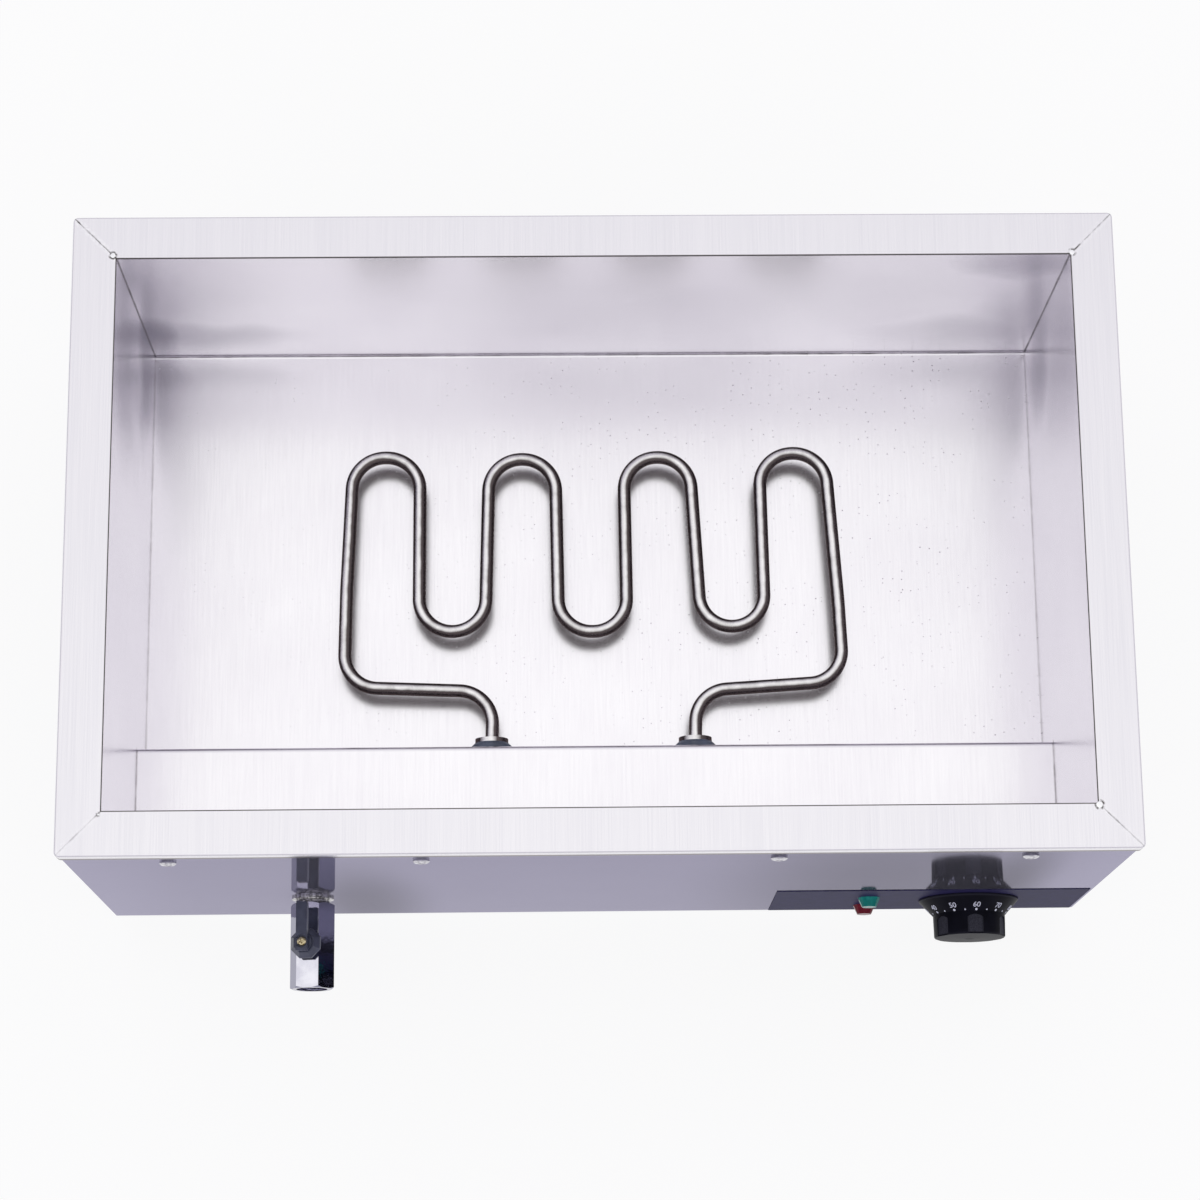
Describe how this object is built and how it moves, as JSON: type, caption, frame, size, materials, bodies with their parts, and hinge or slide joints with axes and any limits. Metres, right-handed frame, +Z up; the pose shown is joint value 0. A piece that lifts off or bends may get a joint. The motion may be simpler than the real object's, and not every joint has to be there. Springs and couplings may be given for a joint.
{
  "type": "electric food warmer",
  "caption": "Countertop wet-well food warmer: mitred rim, stepped water tank with an immersed serpentine heater, thermostat knob, signal lamps and a front drain valve.",
  "frame": {"origin": "bottom centre of the whole appliance's box: the middle of the tank's length, half way between the valve's outlet and the cable gland's tip, on the plane the feet stand on", "axes": "+X to the user's right, +Y from the front panel to the back, +Z up; the front panel faces -Y"},
  "size_m": [0.6, 0.4404, 0.254],
  "materials": {
    "rim_steel": "brushed stainless",
    "tank_steel": "satin stainless",
    "casing_steel": "bright rolled stainless",
    "plated_steel": "zinc plated",
    "screw_steel": "bright plated",
    "brass": "turned",
    "foot_rubber": "moulded matt",
    "sheath_steel": "satin drawn tube",
    "gasket_rubber": "moulded silicone",
    "steatite": "unglazed",
    "valve_chrome": "bright plated",
    "ptfe": "turned",
    "lever_plastic": "moulded",
    "label_film": "satin film",
    "knob_plastic": "moulded phenolic",
    "shaft_steel": "turned",
    "thermostat_plastic": "moulded phenolic",
    "copper": "drawn tube",
    "green_lens": "clear coloured",
    "red_lens": "clear coloured",
    "lamp_plastic": "moulded",
    "gland_nylon": "moulded"
  },
  "bodies": {
    "casing": {"back_fixing_angle": "plated_steel", "back_panel": "casing_steel", "back_rim_screws": "screw_steel", "base_plate": "plated_steel", "base_screws": "screw_steel", "bulb_clip": "plated_steel", "cable_gland": "gland_nylon", "cable_gland_nut": "gland_nylon", "control_label": "label_film", "drain_lock_nut": "screw_steel", "drain_nipple": "tank_steel", "drain_washer": "screw_steel", "earth_nut": "brass", "earth_stud": "screw_steel", "element_bush_left": "sheath_steel", "element_bush_right": "sheath_steel", "element_gaskets": "gasket_rubber", "element_lock_nuts": "screw_steel", "foot_back_left": "foot_rubber", "foot_back_right": "foot_rubber", "foot_front_left": "foot_rubber", "foot_front_right": "foot_rubber", "foot_nuts": "screw_steel", "foot_screws": "screw_steel", "front_fixing_angle": "plated_steel", "front_panel": "casing_steel", "front_rim_screws": "screw_steel", "green_lamp_body": "lamp_plastic", "green_lamp_lens": "green_lens", "heating_element": "sheath_steel", "lamp_clips": "plated_steel", "left_panel": "casing_steel", "red_lamp_body": "lamp_plastic", "red_lamp_lens": "red_lens", "right_panel": "casing_steel", "rim_back": "rim_steel", "rim_front": "rim_steel", "rim_left": "rim_steel", "rim_right": "rim_steel", "stem_seals": "ptfe", "terminal_block": "steatite", "terminal_block_screws": "screw_steel", "terminal_insulators": "steatite", "terminal_pins": "sheath_steel", "thermostat_body": "thermostat_plastic", "thermostat_bracket": "plated_steel", "thermostat_bulb": "copper", "thermostat_capillary": "copper", "thermostat_screws": "screw_steel", "valve_body": "valve_chrome", "valve_retainer": "valve_chrome", "valve_seats": "ptfe", "water_tank": "tank_steel"},
    "dial": {"control_knob": "knob_plastic", "thermostat_shaft": "shaft_steel"},
    "drain_lever": {"valve_ball": "valve_chrome", "valve_stem": "valve_chrome", "valve_lever": "lever_plastic", "lever_screw": "brass"}
  },
  "joints": [
    {"name": "dial_turn", "type": "hinge", "parent": "casing", "child": "dial", "pos_m": [0.228, -0.1652, 0.054], "axis": [0, -1, 0], "range_deg": [-98, 174]},
    {"name": "drain_lever_turn", "type": "hinge", "parent": "casing", "child": "drain_lever", "pos_m": [-0.171, -0.1946, 0.082], "axis": [-0.1736, 0, 0.9848], "range_deg": [-90, 0]}
  ]
}
